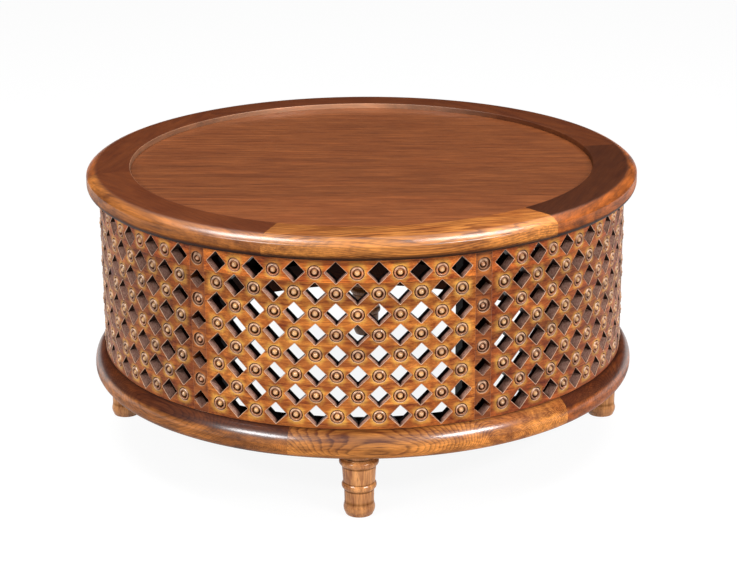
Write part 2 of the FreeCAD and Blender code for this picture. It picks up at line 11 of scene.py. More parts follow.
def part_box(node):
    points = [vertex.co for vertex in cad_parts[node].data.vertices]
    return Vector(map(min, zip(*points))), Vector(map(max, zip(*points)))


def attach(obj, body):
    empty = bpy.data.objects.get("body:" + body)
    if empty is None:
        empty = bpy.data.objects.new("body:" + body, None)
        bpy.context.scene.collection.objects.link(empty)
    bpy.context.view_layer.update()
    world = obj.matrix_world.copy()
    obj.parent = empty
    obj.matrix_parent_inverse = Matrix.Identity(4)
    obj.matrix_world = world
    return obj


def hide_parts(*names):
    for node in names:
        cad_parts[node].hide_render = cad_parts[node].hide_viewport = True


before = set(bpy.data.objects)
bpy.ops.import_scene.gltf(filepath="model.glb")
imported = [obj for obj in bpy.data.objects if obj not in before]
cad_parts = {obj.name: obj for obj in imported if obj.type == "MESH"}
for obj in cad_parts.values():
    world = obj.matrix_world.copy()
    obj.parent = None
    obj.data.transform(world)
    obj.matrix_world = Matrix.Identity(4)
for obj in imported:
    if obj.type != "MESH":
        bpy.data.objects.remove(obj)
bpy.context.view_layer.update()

# Levels, from the frame
WALL_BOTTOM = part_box("lattice_panel_1")[0][2]
WALL_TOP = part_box("lattice_panel_1")[1][2]
RIM_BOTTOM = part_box("top_rim_segment_1")[0][2]
RIM_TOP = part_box("top_rim_segment_1")[1][2]
RING_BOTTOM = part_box("base_ring_segment_1")[0][2]
RING_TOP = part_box("base_ring_segment_1")[1][2]
FOOT_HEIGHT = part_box("foot_1")[1][2]

# Wall
SEGMENTS = 6
SEGMENT_ANGLE = 360 / SEGMENTS
WALL_OUTER = 0.4304
WALL_THICK = 0.024
WALL_INNER = WALL_OUTER - WALL_THICK
WALL_TURN = -5.2
STILE_HALF = 0.0135
POST_OUTER = 0.40575
POST_INNER = 0.38105
POST_HALF = 0.022
COURSES = 7

# Pattern of diamonds and roundels
ROWS = 8
COLUMNS = 14
TOP_ROW = 0.39355
ROW_GAP = 0.032357
COLUMN_ANGLE = 4.2096
HOLE_REACH = 0.01702
SEAM_HOLE_REACH = 0.01481
BOSS_RADIUS = 0.0108
BOSS_DEPTH = 0.0030
HOLE_ARRIS = 0.0009
HOLE_CORNER = 0.0009
JOINT_ARRIS = 0.0003
ISLAND_CORNER = 0.001
EDGE_STEP = 0.0042
BOSS_SIDES = 30
BACK_ARRIS = 0.0006
LAND_MARGIN = 0.0003

# How much of a hole's wall is bare and lit with painted light before painted shade, less on the front panel,
# and how uneven the work of the hand is
BARE_LIT_SHARE = 0.66
FRONT_BARE_LIT_SHARE = 0.46
HAND_SLIP = 0.0003
HAND_SIZE = 0.018
HAND_TURN = 1.2
HAND_WAVE = 0.0002
STILE_SIZE = 0.02

# Rim and base ring
RIM_TURN = 10.7
RIM_RADIUS = 0.450
RIM_INNER = 0.37865
RIM_GROOVE = 0.38765
RING_TURN = 15.1
RING_RADIUS = 0.4485
RING_INNER = 0.38035
SWEEP_STEP = 1.0
JOINT_GAP = 0.00008
SHARP_ANGLE = 38

# How much the rim's inner lip is lightened with painted light, round the table
LIP_ANGLES = (0, 60, 140, 165, 178, 200, 225, 270, 330, 360)
LIP_LIGHT = (0.3, 0.0, 0.05, 0.5, 1.0, 0.95, 0.5, 0.55, 0.35, 0.3)

# Feet
FEET = 4
FOOT_TURN = -1.0
FOOT_CIRCLE = 0.40538
FOOT_RADIUS = 0.0306

# Camera of the photograph
PHOTO_WIDTH = 737
FOCAL_PIXELS = 2134.883
SENSOR = 36.0
CAMERA_PLACE = (0.0, -3.392287, 1.373202)
CAMERA_PITCH = 18.655
CAMERA_YAW = 0.1719
CAMERA_ROLL = -0.3438


def place(angle, across, height, radial):
    """World points of places given across and out from the axis, in the direction of an angle in degrees."""
    turn = np.radians(angle)
    x = radial * np.sin(turn) + across * np.cos(turn)
    y = -radial * np.cos(turn) + across * np.sin(turn)
    return np.stack(np.broadcast_arrays(x, y, height), -1)


def heading(angle, across, height, radial):
    """World directions, from their parts across, up and out."""
    return place(angle, across, height, radial)


def piece(name, points, faces, normals, marks, slot, material, *nodes):
    """One finished mesh that stands for CAD nodes and rides with the table."""
    mesh = bpy.data.meshes.new(name)
    mesh.from_pydata([tuple(p) for p in points], [], faces)
    mesh.shade_smooth()
    for mark, values in marks.items():
        layer = mesh.attributes.new(mark, "FLOAT", "POINT")
        layer.data.foreach_set("value", np.asarray(values, np.float32))
    if normals is None:
        mesh.set_sharp_from_angle(angle=math.radians(SHARP_ANGLE))
    else:
        mesh.normals_split_custom_set_from_vertices([tuple(n) for n in normals])
    mesh.materials.append(material)
    made = bpy.data.objects.new(name, mesh)
    bpy.context.scene.collection.objects.link(made)
    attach(made, "root")
    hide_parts(*nodes)
    return made


# Marks on the points: rubbed edges, and painted glints and painted light; painted shade in grooves, holes,
# creases and inside, with some dark polish in the grooves; bare walls of holes, lit with painted light; light
# halos, which are painted light on the rim's and ring's noses; and high gloss
MARKS = ("worn", "dark", "bare", "halo", "shine")


class Shell:
    """Points, normals, faces and wear marks of a carved piece, gathered patch by patch."""

    def __init__(self):
        self.points, self.normals, self.faces = [], [], []
        self.marks = {mark: [] for mark in MARKS}

    def add(self, points, normals, **marks):
        """Adds points and gives their indices."""
        first = len(self.points)
        count = len(points)
        self.points.extend(points)
        self.normals.extend(normals)
        for mark in MARKS:
            self.marks[mark].extend(np.broadcast_to(marks.get(mark, 0.0), count))
        return list(range(first, first + count))

    def bridge(self, outer, inner):
        """Faces between two closed rows of points."""
        count = len(outer)
        for k in range(count):
            n = (k + 1) % count
            self.faces.append((outer[k], inner[k], inner[n], outer[n]))


def outline(corners, radius, step):
    """A closed polygon's points with rounded corners, and at each the direction off the material, which is
    on its right."""
    points, outs = [], []
    count = len(corners)
    pts = [np.array(c, float) for c in corners]
    for k in range(count):
        before, here, after = pts[k - 1], pts[k], pts[(k + 1) % count]
        come = (here - before) / np.linalg.norm(here - before)
        go = (after - here) / np.linalg.norm(after - here)
        turn = math.atan2(come[0] * go[1] - come[1] * go[0], come @ go)
        side = math.copysign(1.0, turn)
        reach = radius * math.tan(abs(turn) / 2)
        start = here - come * reach
        middle = start + side * radius * np.array([-come[1], come[0]])
        for part in np.linspace(0, 1, 4):
            bend = turn * part
            way = np.array([come[0] * math.cos(bend) - come[1] * math.sin(bend),
                            come[0] * math.sin(bend) + come[1] * math.cos(bend)])
            points.append(middle - side * radius * np.array([-way[1], way[0]]))
            outs.append(np.array([way[1], -way[0]]))
        run = np.linalg.norm(after - here) - 2 * reach
        pieces = max(1, round(run / step))
        for part in range(1, pieces):
            points.append(here + go * (reach + run * part / pieces))
            outs.append(np.array([go[1], -go[0]]))
    return np.array(points), np.array(outs)


def cut_edge(shell, angle, centre, corners, radius, arris, depth, back, lit_share=BARE_LIT_SHARE, rough=None):
    """The rounded edge and the wall of one closed outline: gives the rows of its front and its back land. The
    wall is bare and lit with painted light for a share of its depth, and painted shade lies deeper in, where
    it faces down and in its lowest corner. Long edges of a stile, glued to its neighbours, aren't worn."""
    flat, outs = outline(corners, radius, EDGE_STEP)
    rub_and_light = np.where((np.abs(outs[:, 0]) > 0.99) & (not back), 0.1, 1.0)
    across, height = centre[0] + flat[:, 0], centre[1] + flat[:, 1]
    surface = np.sqrt(WALL_OUTER**2 - across**2)
    rows = []

    def row(off, deep, lean, **marks):
        a = across - outs[:, 0] * off
        h = height - outs[:, 1] * off
        points = place(angle, a, h, surface - deep)
        normals = heading(angle, outs[:, 0] * math.cos(lean), outs[:, 1] * math.cos(lean), math.sin(lean))
        rows.append(shell.add(points, normals, **marks))

    row(arris + LAND_MARGIN, 0.0, math.pi / 2)
    for part, worn in ((1.0, 0.3), (0.62, 1.0), (0.3, 1.0), (0.0, 0.6)):
        lean = part * math.pi / 2
        row(arris * (1 - math.cos(lean)), arris * (1 - math.sin(lean)), lean, worn=worn * rub_and_light)
    wave = rough.uniform(-1, 1) if rough else 0
    # Painted shade: darker where the wall faces down and towards its lowest corner
    shaded = np.clip(-1.4 * outs[:, 1], 0.0, 0.96)
    corner = np.clip(1.2 - np.abs(flat[:, 0]) / (0.3 * np.abs(flat).max()), 0, 1) * (flat[:, 1] < 0)
    # Rows down the wall: share of its depth, bare, dark and corner shade; painted light near the face,
    # painted shade deeper
    wall = [(0.012, 0.6, 0.7, 0.0), (0.04, 0.8, 0.45, 0.0), (0.075, 1.0, 0.0, 0.4),
            (lit_share * 0.7, 1.0, 0.0, 0.9), (lit_share, 1.0, 0.2, 1.0), (lit_share + 0.06, 0.3, 1.0, 1.0),
            (1.0, 0.0, 1.0, 1.0)]
    for part, bare, dark, corner_shade in wall:
        end = depth - back if part == 1.0 else depth * part
        off = wave * HAND_WAVE * math.sin(part * math.pi)
        row(off, end, 0.0, bare=bare, dark=np.maximum(np.maximum(dark, shaded), corner_shade * corner))
    if back:
        for part in (0.5, 1.0):
            lean = -part * math.pi / 2
            # Painted shade: the back of the wall, inside the drum, is painted black
            row(back * (1 - math.cos(lean)), depth - back * (1 + math.sin(lean)), lean, dark=1.0)
    for first, second in zip(rows, rows[1:]):
        shell.bridge(first, second)
    return rows[0], rows[-1]


# A roundel's section, from the face inwards: shares of its radius, heights over the face as shares of its
# depth, its marks of wear and painted light, dark and halo, and where painted light and shade lie: painted
# shade above and painted light below (1), painted shade below and painted light above (-1), or a painted
# highlight above (2). The dark marks are painted shade in the grooves, and the lighter dome top is a painted
# highlight
ROUNDEL = [
    (1.06, 0.00, 0.0, 0.0, 1.0, 0), (1.03, -0.05, 0.6, 0.0, 0.9, 1), (0.99, -0.45, 0.2, 0.5, 0.3, 1),
    (0.95, -0.90, 0.0, 0.8, 0.0, 1), (0.915, -0.95, 0.0, 0.7, 0.0, 0), (0.88, -0.40, 0.1, 0.35, 0.0, 2),
    (0.84, 0.10, 0.25, 0.12, 0.0, 2), (0.76, 0.34, 0.35, 0.05, 0.0, 2), (0.68, 0.15, 0.3, 0.1, 0.0, 2),
    (0.62, -0.30, 0.1, 0.4, 0.0, 2), (0.56, -0.80, 0.0, 0.7, 0.0, -1), (0.49, -1.00, 0.0, 0.8, 0.0, -1),
    (0.43, -0.80, 0.0, 0.7, 0.1, -1), (0.37, -0.25, 0.1, 0.3, 0.7, -1), (0.29, 0.25, 0.3, 0.0, 1.0, 0),
    (0.18, 0.52, 0.45, 0.0, 1.0, 0), (0.08, 0.63, 0.7, 0.0, 1.0, 0),
]


def roundel(shell, angle, across, height, radius, depth, inner_shift=0.0, inner_size=1.0):
    """A turned boss: a small dome in a groove, a rounded ring and an outer groove. Gives its outer row."""
    turn = np.linspace(0, 2 * math.pi, BOSS_SIDES, endpoint=False)
    dx, dz = np.cos(turn), np.sin(turn)
    rows = []
    for k, (share, rise, worn, dark, halo, side) in enumerate(ROUNDEL):
        before, after = ROUNDEL[max(k - 1, 0)], ROUNDEL[min(k + 1, len(ROUNDEL) - 1)]
        slope = (after[1] - before[1]) * depth / ((before[0] - after[0]) * radius) if k else 0.0
        inner = share < 0.9
        reach = share * radius * (inner_size if inner else 1.0)
        a = across + (inner_shift * radius if inner else 0.0) + dx * reach
        h = height + dz * reach
        lean = math.atan(slope)
        points = place(angle, a, h, np.sqrt(WALL_OUTER**2 - a**2) + depth * rise)
        normals = heading(angle, dx * math.sin(lean), dz * math.sin(lean), math.cos(lean))
        # Painted highlight at the ring's top; painted shade on one half of each groove and painted light on
        # the other
        if side == 2:
            rub_and_light = np.clip(2.2 * dz - 0.6, 0, 1) * np.clip(0.25 + 1.6 * np.abs(dx), 0, 1)
            dark, worn = dark * (1 - rub_and_light), worn + (0.95 - worn) * rub_and_light
        else:
            dark, worn = np.clip(dark * (1 + 0.6 * side * dz), 0, 1), worn + 0.5 * np.clip(-side * dz, 0, 1)
        rows.append(shell.add(points, normals, worn=worn, dark=dark, halo=halo, shine=float(share < 1)))
    for first, second in zip(rows, rows[1:]):
        for k in range(BOSS_SIDES):
            n = (k + 1) % BOSS_SIDES
            shell.faces.append((first[k], first[n], second[n], second[k]))
    centre = np.array([across + inner_shift * radius])
    tip = place(angle, centre, height, WALL_OUTER + depth * ROUNDEL[-1][1])
    top = shell.add(tip, heading(angle, np.array([0.0]), 0.0, 1.0), worn=0.6, halo=1.0, shine=1.0)[0]
    last = rows[-1]
    for k in range(BOSS_SIDES):
        shell.faces.append((last[k], last[(k + 1) % BOSS_SIDES], top))
    return rows[0]


def land(shell, loops, radius, outward, middle, extra=()):
    """Triangles over the curved face at a radius and round a middle angle, inside its outline and around its
    holes. Extra points within the face keep it curved."""
    ids = [i for loop in loops for i in loop] + list(extra)
    world = np.array([shell.points[i] for i in ids])
    flat = np.stack([radius * np.arctan2(world[:, 0], -world[:, 1]), world[:, 2]], -1)
    turned = flat[:, 0] / radius - math.radians(middle)
    flat[:, 0] = radius * ((turned + math.pi) % (2 * math.pi) - math.pi)
    edges, first = [], 0
    for loop in loops:
        count = len(loop)
        edges.extend((first + k, first + (k + 1) % count) for k in range(count))
        first += count
    found = geometry.delaunay_2d_cdt([Vector(p) for p in flat], edges, [], 0, 1e-7, True)
    spots, triangles, origins = np.array([tuple(v) for v in found[0]]), np.array(found[2]), found[3]
    centres = spots[triangles].mean(1)
    inside = np.zeros(len(triangles), bool)
    for a, b in edges:
        (ax, az), (bx, bz) = flat[a], flat[b]
        if az == bz:
            continue
        crosses = (az > centres[:, 1]) != (bz > centres[:, 1])
        inside ^= crosses & (centres[:, 0] < (bx - ax) * (centres[:, 1] - az) / (bz - az) + ax)
    for triangle in triangles[inside]:
        corners = [ids[origins[k][0]] for k in triangle]
        (ax, az), (bx, bz), (cx, cz) = spots[triangle]
        left_hand = (bx - ax) * (cz - az) - (bz - az) * (cx - ax) > 0
        shell.faces.append(tuple(corners if left_hand == outward else corners[::-1]))


def diamond(reach, turn=0.0):
    """Corners of a diamond, clockwise, so that the wood lies on the left."""
    return [(reach * math.sin(math.radians(90 * k + turn)), reach * math.cos(math.radians(90 * k + turn)))
            for k in range(4)]


def row_height(row):
    return TOP_ROW - ROW_GAP * row


def panel_outline(middle):
    """The rounded edge round a panel: flush with its stiles, notched where the seam's diamonds reach in."""
    bite = SEAM_HOLE_REACH - STILE_HALF
    seam_rows = [row_height(k) for k in range(ROWS) if k % 2]
    edge = math.degrees(math.asin(STILE_HALF / WALL_OUTER))
    half = SEGMENT_ANGLE / 2 - edge
    reach = math.radians(half) * WALL_OUTER
    right = [(reach, WALL_BOTTOM)]
    for height in seam_rows[::-1]:
        right += [(reach, height - bite), (reach - bite, height), (reach, height + bite)]
    right.append((reach, WALL_TOP))
    left = [(-a, h) for a, h in right[::-1]]
    return right + left


def bent_edge(shell, middle, corners, arris, depth):
    """The edge of an outline that is laid round the drum: each point has its own direction from the axis."""
    flat, outs = outline(corners, arris, EDGE_STEP * 2)
    turn = middle + np.degrees(flat[:, 0] / WALL_OUTER)
    rows = []
    for off, deep, lean, worn in [(1.0, 0.0, 90, 0.0), (0.3, 0.3, 45, 0.3), (0.0, 1.0, 0, 0.1)]:
        slope = math.radians(lean)
        points = place(turn, -outs[:, 0] * arris * off, flat[:, 1] - outs[:, 1] * arris * off,
                       WALL_OUTER - arris * deep)
        normals = heading(turn, outs[:, 0] * math.cos(slope), outs[:, 1] * math.cos(slope), math.sin(slope))
        rows.append(shell.add(points, normals, worn=worn))
    for lean in (0, -90):
        slope = math.radians(lean)
        points = place(turn, 0 * outs[:, 0], flat[:, 1], WALL_OUTER - depth)
        normals = heading(turn, outs[:, 0] * math.cos(slope), outs[:, 1] * math.cos(slope), math.sin(slope))
        # Painted shade: the panel's hidden side and back are painted black
        rows.append(shell.add(points, normals, dark=1.0))
    for first, second in zip(rows[:-1], rows[1:-1]):
        shell.bridge(first, second)
    return rows[0], rows[-1]


def carved_panel(number, material):
    """One curved panel: pierced with diamonds, and carved with roundels between them, a little uneven."""
    middle = WALL_TURN + SEGMENT_ANGLE * (number - 1)
    shell = Shell()
    hand = random.Random(700 + number)
    lit_share = FRONT_BARE_LIT_SHARE if number == 1 else BARE_LIT_SHARE
    front, back = bent_edge(shell, middle, panel_outline(middle), JOINT_ARRIS, WALL_THICK)
    fronts, backs = [front], [back]
    spots = []
    for row in range(ROWS):
        for column in range(1, COLUMNS):
            angle = middle + (column - COLUMNS / 2) * COLUMN_ANGLE
            slip = (hand.uniform(-1, 1) * HAND_SLIP, row_height(row) + hand.uniform(-1, 1) * HAND_SLIP)
            size = 1 + hand.uniform(-1, 1) * HAND_SIZE
            if (row + column) % 2:
                corners = diamond(HOLE_REACH * size, hand.uniform(-HAND_TURN, HAND_TURN))
                start, end = cut_edge(shell, angle, slip, corners, HOLE_CORNER, HOLE_ARRIS, WALL_THICK,
                                      BACK_ARRIS, lit_share, hand)
                fronts.append(start)
                backs.append(end)
            else:
                fronts.append(roundel(shell, angle, slip[0], slip[1], BOSS_RADIUS * size, BOSS_DEPTH))
                spots.append((angle, slip[1]))
    extra = []
    for angle, height in spots:
        # Painted shade: the back land inside the drum is painted black
        point = place(np.array([angle]), 0.0, height, WALL_INNER)
        extra += shell.add(point, heading(np.array([angle]), 0.0, 0.0, -1.0), dark=1.0)
    land(shell, fronts, WALL_OUTER, True, middle)
    land(shell, backs, WALL_INNER, False, middle, extra)
    return piece(f"carved_panel_{number}", shell.points, shell.faces, shell.normals, shell.marks, "wall",
                 material, f"lattice_panel_{number}")


def stile_islands():
    """Outlines of a stile's faces: its diamonds are a little wider than the stile and part it."""
    bite = SEAM_HOLE_REACH - STILE_HALF
    centres = [row_height(k) for k in range(ROWS) if k % 2]
    ends = [WALL_TOP] + centres
    starts = centres + [WALL_BOTTOM]
    islands = []
    for high, low in zip(ends, starts):
        if low == WALL_BOTTOM:
            corners = [(-STILE_HALF, low), (STILE_HALF, low)]
        else:
            corners = [(-STILE_HALF, low + bite), (0, low + SEAM_HOLE_REACH), (STILE_HALF, low + bite)]
        if high == WALL_TOP:
            corners += [(STILE_HALF, high), (-STILE_HALF, high)]
        else:
            corners += [(STILE_HALF, high - bite), (0, high - SEAM_HOLE_REACH), (-STILE_HALF, high - bite)]
        islands.append((corners, low, high))
    return islands


def carved_stile(number, material):
    """The upright between two panels, with the seam's column of roundels and diamonds, and its wide back."""
    angle = WALL_TURN + SEGMENT_ANGLE * (number - 0.5)
    shell = Shell()
    hand = random.Random(900 + number)
    shift = -0.14 if number in (1, 2, 3) else 0.14
    for corners, low, high in stile_islands():
        front, back = cut_edge(shell, angle, (0, 0), corners, ISLAND_CORNER, JOINT_ARRIS,
                               WALL_OUTER - POST_OUTER, 0)
        loops = [front]
        for row in range(0, ROWS, 2):
            height = row_height(row)
            if low < height < high:
                size = 1 + hand.uniform(-1, 1) * STILE_SIZE
                loops.append(roundel(shell, angle, 0.0, height, BOSS_RADIUS * size, BOSS_DEPTH, shift, 0.84))
        land(shell, loops, WALL_OUTER, True, angle)
        shell.faces.append(tuple(back))
    block(shell, angle, POST_HALF, WALL_BOTTOM, WALL_TOP, POST_INNER, POST_OUTER)
    return piece(f"carved_stile_{number}", shell.points, shell.faces, None, shell.marks, "wall",
                 material, f"seam_post_{number}")


def block(shell, angle, half, low, high, inner, outer):
    """A squared length of timber with its four long edges eased."""
    ease = 0.001
    section = [(-half + ease, outer), (half - ease, outer), (half, outer - ease), (half, inner + ease),
               (half - ease, inner), (-half + ease, inner), (-half, inner + ease), (-half, outer - ease)]
    rows = []
    for height in (low, high):
        points = np.concatenate([place(angle, np.array([a]), height, r) for a, r in section])
        # Painted shade: the post's block inside the drum is painted black
        rows.append(shell.add(points, points * 0 + (0, 0, 1), dark=1.0))
    shell.bridge(rows[1], rows[0])
    shell.faces.append(tuple(rows[1][::-1]))
    shell.faces.append(tuple(rows[0]))


def arc(centre, radius, start, end, count):
    """Points of an arc in a section, by its angles from the outward direction."""
    return [(centre[0] + radius * math.cos(math.radians(start + (end - start) * k / count)),
             centre[1] + radius * math.sin(math.radians(start + (end - start) * k / count)))
            for k in range(count + 1)]


def tangent_arc(start, end, radius, count):
    """Points of an arc from one point of a section to another, bulging to the right of the way."""
    (ax, az), (bx, bz) = start, end
    half = math.hypot(bx - ax, bz - az) / 2
    rise = math.sqrt(max(radius**2 - half**2, 0))
    middle = ((ax + bx) / 2, (az + bz) / 2)
    left = (-(bz - az) / (2 * half), (bx - ax) / (2 * half))
    centre = (middle[0] + left[0] * rise, middle[1] + left[1] * rise)
    first = math.degrees(math.atan2(az - centre[1], ax - centre[0]))
    last = math.degrees(math.atan2(bz - centre[1], bx - centre[0]))
    sweep = (last - first + 540) % 360 - 180
    return arc(centre, radius, first, first + sweep, count)


def swept(name, profile, middle, slot, material, node):
    """A segment of a ring: its section carried round the axis between two joints, with eased ends."""
    section, marks, lip = profile
    half = SEGMENT_ANGLE / 2
    ease = math.degrees(JOINT_GAP / RIM_RADIUS)
    count = round(SEGMENT_ANGLE / SWEEP_STEP)
    turns = [-half] + list(np.linspace(-half + ease, half - ease, count)) + [half]
    section = np.array(section)
    ahead = np.roll(section, -1, 0) - section
    ahead /= np.linalg.norm(ahead, axis=1)[:, None]
    along = ahead + np.roll(ahead, 1, 0)
    inwards = np.stack([-along[:, 1], along[:, 0]], -1) / np.linalg.norm(along, axis=1)[:, None]
    points, faces = [], []
    size = len(section)
    for turn in turns:
        drawn = section + inwards * JOINT_GAP if abs(turn) == half else section
        points.extend(place(middle + turn, 0.0, drawn[:, 1], drawn[:, 0]))
    for k in range(len(turns) - 1):
        for i in range(size):
            n = (i + 1) % size
            faces.append((k * size + i, (k + 1) * size + i, (k + 1) * size + n, k * size + n))
    faces.append(tuple(range(size)))
    faces.append(tuple(range(len(points) - 1, len(points) - 1 - size, -1)))
    # Painted light on the inner lip, more or less round the table
    light = np.interp([(middle + turn) % 360 for turn in turns], LIP_ANGLES, LIP_LIGHT)
    gain = np.where(np.array(lip), light[:, None], 1.0)
    spread = {mark: (gain * values).ravel() for mark, values in marks.items()}
    return piece(name, points, faces, None, spread, slot, material, node)


def fade(value, start, end):
    """0 at the start, 1 at the end and smooth between."""
    part = min(max((value - start) / (end - start), 0.0), 1.0)
    return part * part * (3 - 2 * part)


def rim_section():
    """The rim's section, counter-clockwise: eased underside, rounded nose, flat top and the groove for the
    planks. Its nose is lighter with painted light, and so is its inner lip, here more and there less; painted
    shade lies under the nose and inside."""
    under, nose_height, nose_top = 0.01088, 0.4383, (0.44882, 0.4412)
    nose_bend, shoulder_bend, flat_edge = 0.0042, 0.02833, 0.4283
    lip, groove_low, groove_high = 0.0014, 0.4252, 0.4378
    points = [(RIM_INNER, RIM_BOTTOM)]
    points += arc((RIM_RADIUS - under, RIM_BOTTOM + under), under, -90, 0, 8)
    points += tangent_arc((RIM_RADIUS, nose_height), nose_top, nose_bend, 5)
    points += tangent_arc(nose_top, (flat_edge, RIM_TOP), shoulder_bend, 12)[1:]
    points += arc((RIM_INNER + lip, RIM_TOP - lip), lip, 90, 180, 4)
    points += [(RIM_INNER, groove_high), (RIM_GROOVE, groove_high), (RIM_GROOVE, groove_low),
               (RIM_INNER, groove_low)]
    on_lip = [z > groove_low and r < 0.3797 for r, z in points]
    # Painted light on the nose, which faces the front lamps, and on the inner lip
    halo = [1.0 if rub_and_light else fade(r, 0.4275, 0.4425) * fade(z, 0.418, 0.430)
            for (r, z), rub_and_light in zip(points, on_lip)]
    # Painted shade under the nose and on the inner underside
    dark = [1.0 if z < groove_low + 0.0001 and r < 0.40 else 0.95 * (1 - fade(z, 0.419, 0.4285))
            for r, z in points]
    worn = [0.35 * rub_and_light for rub_and_light in on_lip]
    shine = [fade(r, 0.430, 0.437) * fade(z, 0.4375, 0.4405) for r, z in points]
    return points, {"halo": halo, "dark": dark, "worn": worn, "shine": shine}, on_lip


def ring_section():
    """The base ring's section, counter-clockwise: a large round on top and a smaller one below. Its outermost
    part is lighter with painted light, and painted shade lies where it meets the wall and on its inner side."""
    under, shoulder, shoulder_bend = 0.01341, 0.12127, 0.03241
    points = [(RING_INNER, RING_BOTTOM)]
    points += arc((RING_RADIUS - under, RING_BOTTOM + under), under, -90, 0, 8)
    points += tangent_arc((RING_RADIUS, shoulder), (WALL_OUTER, RING_TOP), shoulder_bend, 14)
    points += [(RING_INNER, RING_TOP)]
    halo = [fade(r, 0.4405, 0.4475) * (1 - fade(z, 0.128, 0.138)) for r, z in points]
    # Painted shade in the crease against the wall and on the inner side
    dark = [0.3 * fade(z, 0.1425, RING_TOP) + 0.5 * fade(z, 0.1455, RING_TOP) + (r < 0.40) * 0.15
            for r, z in points]
    shine = [fade(z, 0.1215, 0.1275) * (1 - fade(z, 0.1375, 0.1435)) for r, z in points]
    return points, {"halo": halo, "dark": dark, "shine": shine}, [False] * len(points)


def foot(number, material):
    """A turned foot: a beaded stem with a collar under the ring."""
    size, tall, sides = FOOT_RADIUS, FOOT_HEIGHT, 72
    stem = [(0.0, 0.0), (0.64, 0.0), (0.68, 0.005), (0.70, 0.016)]
    stem += bead((0.71, 0.03), (0.75, 0.172), 0.15, size, tall)
    stem += [(0.746, 0.19), (0.738, 0.205), (0.74, 0.25), (0.75, 0.385), (0.744, 0.398), (0.75, 0.406)]
    stem += bead((0.762, 0.412), (0.815, 0.514), 0.064, size, tall)
    stem += [(0.797, 0.525), (0.803, 0.54), (0.842, 0.71), (0.850, 0.765), (0.843, 0.778), (0.850, 0.787)]
    stem += bead((0.863, 0.79), (0.882, 0.904), 0.062, size, tall)
    stem += [(0.855, 0.916), (0.853, 0.93), (0.88, 0.955), (0.912, 0.975), (0.915, 1.0), (0.0, 1.0)]
    angle = FOOT_TURN + 360 / FEET * (number - 1)
    centre = place(angle, 0.0, 0.0, FOOT_CIRCLE)
    points, faces = [tuple(centre)], []
    for share, rise in stem[1:-1]:
        for k in range(sides):
            turn = 2 * math.pi * k / sides
            reach = size * share
            points.append((centre[0] + reach * math.cos(turn), centre[1] + reach * math.sin(turn),
                           tall * rise))
    rows = len(stem) - 2
    for k in range(sides):
        n = (k + 1) % sides
        faces.append((0, 1 + n, 1 + k))
        for r in range(rows - 1):
            low, high = 1 + r * sides, 1 + (r + 1) * sides
            faces.append((low + k, low + n, high + n, high + k))
    faces.append(tuple(1 + (rows - 1) * sides + k for k in range(sides)))
    # Painted shade in the grooves between the beads
    groove_shade = {0.19: 0.2, 0.205: 0.45, 0.398: 0.7, 0.406: 0.3, 0.525: 0.65, 0.778: 0.7, 0.787: 0.3, 0.93: 0.85}
    dark = [0.0] + [groove_shade.get(rise, 0.0) for share, rise in stem[1:-1] for k in range(sides)]
    return piece(f"turned_foot_{number}", points, faces, None, {"dark": dark}, "foot", material,
                 f"foot_{number}")


def bead(start, end, bulge, size, tall):
    """A bulging stretch of a foot's outline, in shares of its radius and height."""
    low, high = (start[0] * size, start[1] * tall), (end[0] * size, end[1] * tall)
    points = tangent_arc(low, high, max(bulge * tall, math.dist(low, high) * 0.51), 9)
    return [(r / size, z / tall) for r, z in points]


# Colours of the wood, as linear light and dark tones
AMBER = ((0.82, 0.285, 0.046), (0.20, 0.035, 0.006))
GOLDEN = ((0.60, 0.225, 0.046), (0.12, 0.027, 0.006))
FOOT = ((0.90, 0.40, 0.130), (0.26, 0.080, 0.022))
BROWN = ((0.60, 0.165, 0.026), (0.13, 0.022, 0.005))
REDDISH = ((0.46, 0.135, 0.030), (0.12, 0.025, 0.007))
DEEP = ((0.135, 0.034, 0.008), (0.072, 0.016, 0.004))
RING_RED = ((0.20, 0.052, 0.013), (0.060, 0.013, 0.005))
TOP = ((0.30, 0.088, 0.024), (0.105, 0.027, 0.008))
INSIDE = ((0.12, 0.045, 0.018), (0.04, 0.013, 0.006))
# Bare wood of the holes' walls, made light as painted light
BARE_LIT = ((0.88, 0.52, 0.40), (0.46, 0.19, 0.13))
# Near-black painted shade, with some dark polish in grooves
SHADE_AND_POLISH = (0.010, 0.003, 0.002)
WEAR_AND_LIGHT_TONE = (0.95, 0.65, 0.44)
# Light halos: on the roundels, and on the rim's and ring's noses, where they are painted light for each side
GLOW_WALL = (0.90, 0.46, 0.085)
GLOW_STILE = (0.64, 0.19, 0.032)
GLOW_RIM = (0.50, 0.130, 0.020)
GLOW_FRONT = (0.60, 0.200, 0.036)
GLOW_RIGHT = (0.66, 0.165, 0.024)
GLOW_GOLD = (0.74, 0.27, 0.052)


